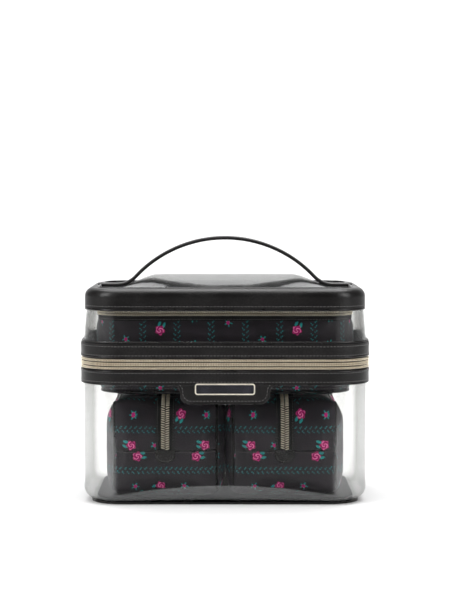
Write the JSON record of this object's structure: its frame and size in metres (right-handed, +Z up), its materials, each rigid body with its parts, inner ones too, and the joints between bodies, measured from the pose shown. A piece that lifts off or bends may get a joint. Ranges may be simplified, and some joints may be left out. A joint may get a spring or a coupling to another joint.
{
  "type": "makeup train case",
  "caption": "Clear soft-sided makeup train case with zipped lid, strap handle and zipped floral inner bags.",
  "frame": {"origin": "centre of the flat underside of the base panel", "axes": "+Z up, -Y is the front with the nameplate, +X along the width"},
  "size_m": [0.2718, 0.1735, 0.243],
  "materials": {
    "clear_sheet": "clear flexible PVC, glossy",
    "leather_band": "fine pebbled faux leather with a soft sheen",
    "leather_trim": "smooth faux leather",
    "lining_tape": "woven tape",
    "strap": "stitched faux leather strap",
    "plate_frame": "polished pale gold",
    "enamel": "glossy black enamel",
    "zip_coil": "metallic champagne-gold coil",
    "slider_metal": "champagne-gold plated",
    "floral_cloth": "printed satin-weave cloth over thin padding",
    "bag_piping": "black corded piping",
    "zip_tape": "woven black tape",
    "bag_tab": "faux leather tab"
  },
  "bodies": {
    "case_body": {"clear_body_wall": "clear_sheet", "base_panel": "leather_trim", "base_board": "lining_tape", "body_band": "leather_band", "body_band_lining": "lining_tape", "nameplate_frame": "plate_frame", "nameplate_insert": "enamel", "main_zip_lower": "zip_coil", "zip_end_tabs": "leather_trim", "back_hinge": "lining_tape", "upper_bag_wall": "floral_cloth", "upper_bag_top": "floral_cloth", "upper_bag_base": "floral_cloth", "upper_bag_piping": "bag_piping", "upper_bag_zip_tape": "zip_tape", "upper_bag_zip": "zip_coil", "left_bag_wrap": "floral_cloth", "left_bag_front": "floral_cloth", "left_bag_sides": "floral_cloth", "left_bag_piping": "bag_piping", "left_bag_zip_tape": "zip_tape", "left_bag_zip": "zip_coil", "left_bag_tab": "bag_tab", "right_bag_wrap": "floral_cloth", "right_bag_front": "floral_cloth", "right_bag_sides": "floral_cloth", "right_bag_piping": "bag_piping", "right_bag_zip_tape": "zip_tape", "right_bag_zip": "zip_coil", "right_bag_tab": "bag_tab"},
    "lid": {"main_zip_upper": "zip_coil", "lid_wall": "clear_sheet", "lid_band": "leather_band", "lid_band_lining": "lining_tape", "lid_band_piping": "leather_trim", "lid_top_band": "leather_band", "lid_top_piping": "leather_trim", "lid_top_welt": "leather_trim", "lid_top_panel": "clear_sheet", "handle_end_left": "strap", "handle_end_right": "strap"},
    "handle": {"handle_arch": "strap", "handle_flex_left": "strap", "handle_flex_right": "strap"},
    "front_slider": {"main_slider_front": "slider_metal"},
    "front_pull": {"main_pull_front": "slider_metal"},
    "rear_slider": {"main_slider_rear": "slider_metal"},
    "rear_pull": {"main_pull_rear": "slider_metal"},
    "upper_slider": {"upper_bag_slider": "slider_metal"},
    "upper_pull": {"upper_bag_pull": "slider_metal"},
    "left_slider": {"left_bag_slider": "slider_metal"},
    "left_pull": {"left_bag_pull": "slider_metal"},
    "right_slider": {"right_bag_slider": "slider_metal"},
    "right_pull": {"right_bag_pull": "slider_metal"}
  },
  "joints": [
    {"name": "lid_hinge", "type": "hinge", "parent": "case_body", "child": "lid", "pos_m": [0, 0.0865, 0.129], "axis": [-1, 0, 0], "range_deg": [0, 170], "deforming": ["back_hinge"]},
    {"name": "handle_sway", "type": "hinge", "parent": "lid", "child": "handle", "pos_m": [0, 0, 0.1995], "axis": [1, 0, 0], "range_deg": [-45, 45], "stiffness_Nm_per_rad": 0.08, "deforming": ["handle_flex_left", "handle_flex_right"]},
    {"name": "front_slider_slide", "type": "slide", "parent": "case_body", "child": "front_slider", "axis": [0, -1, 0], "range_m": [0, 0.07]},
    {"name": "front_pull_swing", "type": "hinge", "parent": "front_slider", "child": "front_pull", "pos_m": [0.1368, 0.031, 0.129], "axis": [0, -1, 0], "range_deg": [0, 150]},
    {"name": "rear_slider_turn", "type": "hinge", "parent": "case_body", "child": "rear_slider", "pos_m": [0.0945, 0.047, 0.129], "axis": [0, 0, 1], "range_deg": [0, 30]},
    {"name": "rear_pull_swing", "type": "hinge", "parent": "rear_slider", "child": "rear_pull", "pos_m": [0.1368, 0.047, 0.129], "axis": [0, -1, 0], "range_deg": [0, 150]},
    {"name": "upper_slider_slide", "type": "slide", "parent": "case_body", "child": "upper_slider", "axis": [0, -1, 0], "range_m": [0, 0.07]},
    {"name": "upper_pull_swing", "type": "hinge", "parent": "upper_slider", "child": "upper_pull", "pos_m": [0.1223, 0.036, 0.1741], "axis": [1, 0, 0], "range_deg": [-30, 30]},
    {"name": "left_slider_slide", "type": "slide", "parent": "case_body", "child": "left_slider", "axis": [0, 0, 1], "range_m": [0, 0.028]},
    {"name": "left_pull_swing", "type": "hinge", "parent": "left_slider", "child": "left_pull", "pos_m": [-0.0546, 0.0738, 0.0522], "axis": [0, 1, 0], "range_deg": [-30, 30]},
    {"name": "right_slider_slide", "type": "slide", "parent": "case_body", "child": "right_slider", "axis": [0, 0, 1], "range_m": [0, 0.028]},
    {"name": "right_pull_swing", "type": "hinge", "parent": "right_slider", "child": "right_pull", "pos_m": [0.0546, 0.0738, 0.0522], "axis": [0, 1, 0], "range_deg": [-30, 30]}
  ]
}
